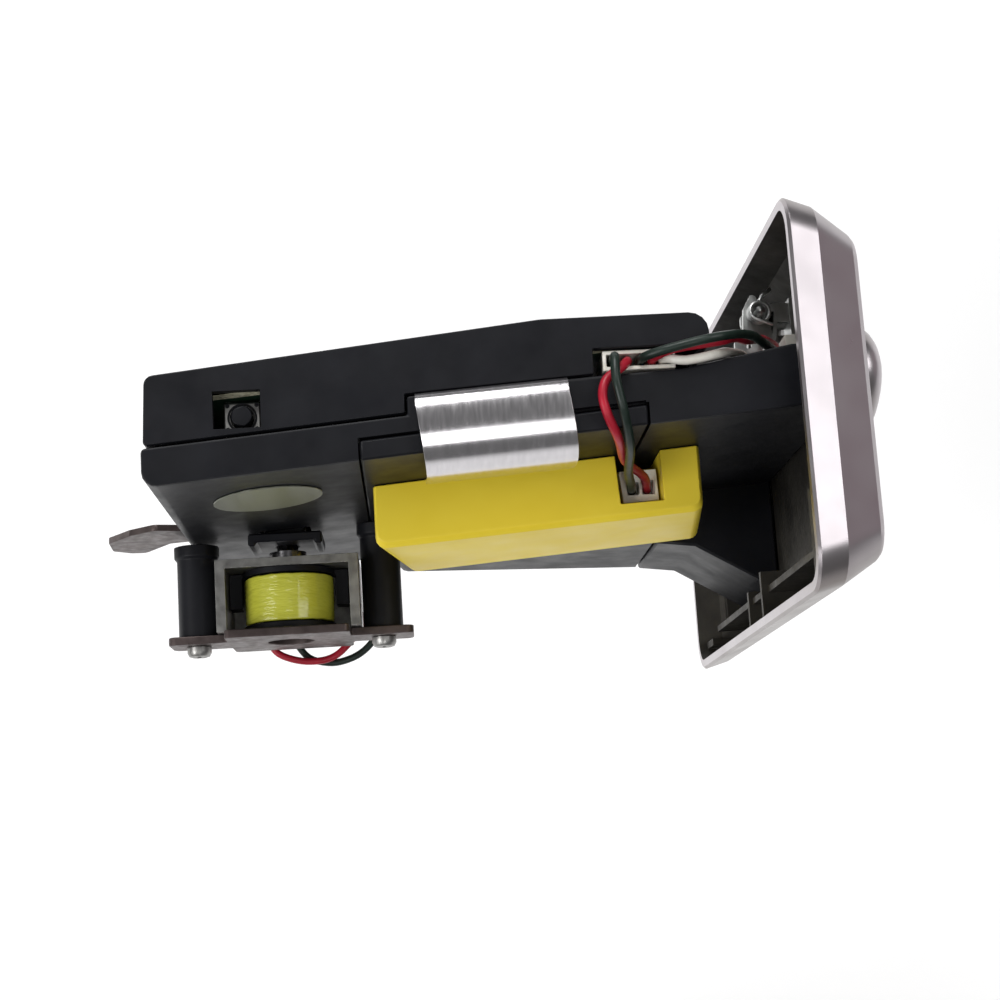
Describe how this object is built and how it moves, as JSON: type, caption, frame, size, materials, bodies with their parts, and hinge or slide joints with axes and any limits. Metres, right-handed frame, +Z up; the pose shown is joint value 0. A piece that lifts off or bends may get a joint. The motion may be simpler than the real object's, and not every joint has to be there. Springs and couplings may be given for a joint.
{
  "type": "coin acceptor",
  "caption": "Electronic coin acceptor: die-cast front plate with slot, button and return pocket, black slim body with sensor box, spring clip and a sorting solenoid on posts.",
  "frame": {"origin": "middle of the front plate's top edge, in the plane of its rear rim", "axes": "+X across the plate, +Y from the plate to the rear of the body, +Z up along the plate"},
  "size_m": [0.064, 0.1356, 0.1269],
  "materials": {
    "zinc": "satin die-cast zinc",
    "black_plastic": "fine spark-eroded texture",
    "spring_steel": "polished",
    "plated_steel": "dull zinc plating",
    "brown_steel": "tarnished",
    "yellow_plastic": "semi-gloss",
    "coil_tape": "glossy polyester tape",
    "white_nylon": "natural nylon",
    "silver_foil": "matt foil label with no print",
    "board": "green solder mask",
    "red_wire": "vinyl sleeve",
    "dark_wire": "vinyl sleeve",
    "white_wire": "vinyl sleeve"
  },
  "bodies": {
    "acceptor": {"board_cover": "black_plastic", "bobbin": "black_plastic", "body_shell": "black_plastic", "coil": "coil_tape", "coil_wire_black": "dark_wire", "coil_wire_red": "red_wire", "deck_screw_front": "spring_steel", "deck_screw_rear": "spring_steel", "face_plate": "zinc", "foil_disc": "silver_foil", "lamp_wire_black": "dark_wire", "lamp_wire_red": "red_wire", "lamp_wire_white": "white_wire", "lever_bracket": "plated_steel", "lever_pin": "spring_steel", "main_board": "board", "post_front": "black_plastic", "post_rear": "black_plastic", "rear_pin": "spring_steel", "return_chute": "black_plastic", "sensor_box": "yellow_plastic", "sensor_carrier": "black_plastic", "sensor_plug": "white_nylon", "sensor_wire_dark": "dark_wire", "sensor_wire_red": "red_wire", "slot_bezel": "zinc", "slot_lamp": "white_wire", "solenoid_deck": "brown_steel", "solenoid_yoke": "plated_steel", "spring_clip": "spring_steel", "tact_switch": "plated_steel", "torsion_spring": "spring_steel", "wire_header": "white_nylon"},
    "button": {"return_button": "plated_steel"},
    "lever": {"return_lever": "plated_steel"},
    "plunger": {"plunger": "spring_steel", "gate_arm": "black_plastic"},
    "tact": {"tact_button": "black_plastic"},
    "flap": {"return_flap": "black_plastic"},
    "rear_lever": {"rear_lever": "brown_steel"}
  },
  "joints": [
    {"name": "button_slide", "type": "slide", "parent": "acceptor", "child": "button", "axis": [0, 1, 0], "range_m": [0, 0.002], "stiffness_N_per_m": 150},
    {"name": "lever_hinge", "type": "hinge", "parent": "acceptor", "child": "lever", "pos_m": [0.022, -0.0016, -0.04075], "axis": [0, 0, 1], "range_deg": [-33.5, 0], "stiffness_Nm_per_rad": 0.01},
    {"name": "plunger_slide", "type": "slide", "parent": "acceptor", "child": "plunger", "axis": [-1, 0, 0], "range_m": [0, 0.0018], "stiffness_N_per_m": 120},
    {"name": "tact_press", "type": "slide", "parent": "acceptor", "child": "tact", "axis": [0, 0, -1], "range_m": [0, 0.00025], "stiffness_N_per_m": 2000},
    {"name": "flap_hinge", "type": "hinge", "parent": "acceptor", "child": "flap", "pos_m": [-0.004, -0.0111, -0.0846], "axis": [1, 0, 0], "range_deg": [-60, 0]},
    {"name": "rear_lever_hinge", "type": "hinge", "parent": "acceptor", "child": "rear_lever", "pos_m": [-0.0058, 0.0984, -0.0692], "axis": [1, 0, 0], "range_deg": [-8, 8], "stiffness_Nm_per_rad": 0.02}
  ],
  "couplings": [
    {"joint": "lever_hinge", "follows": "button_slide", "rad_per_m": -288}
  ]
}
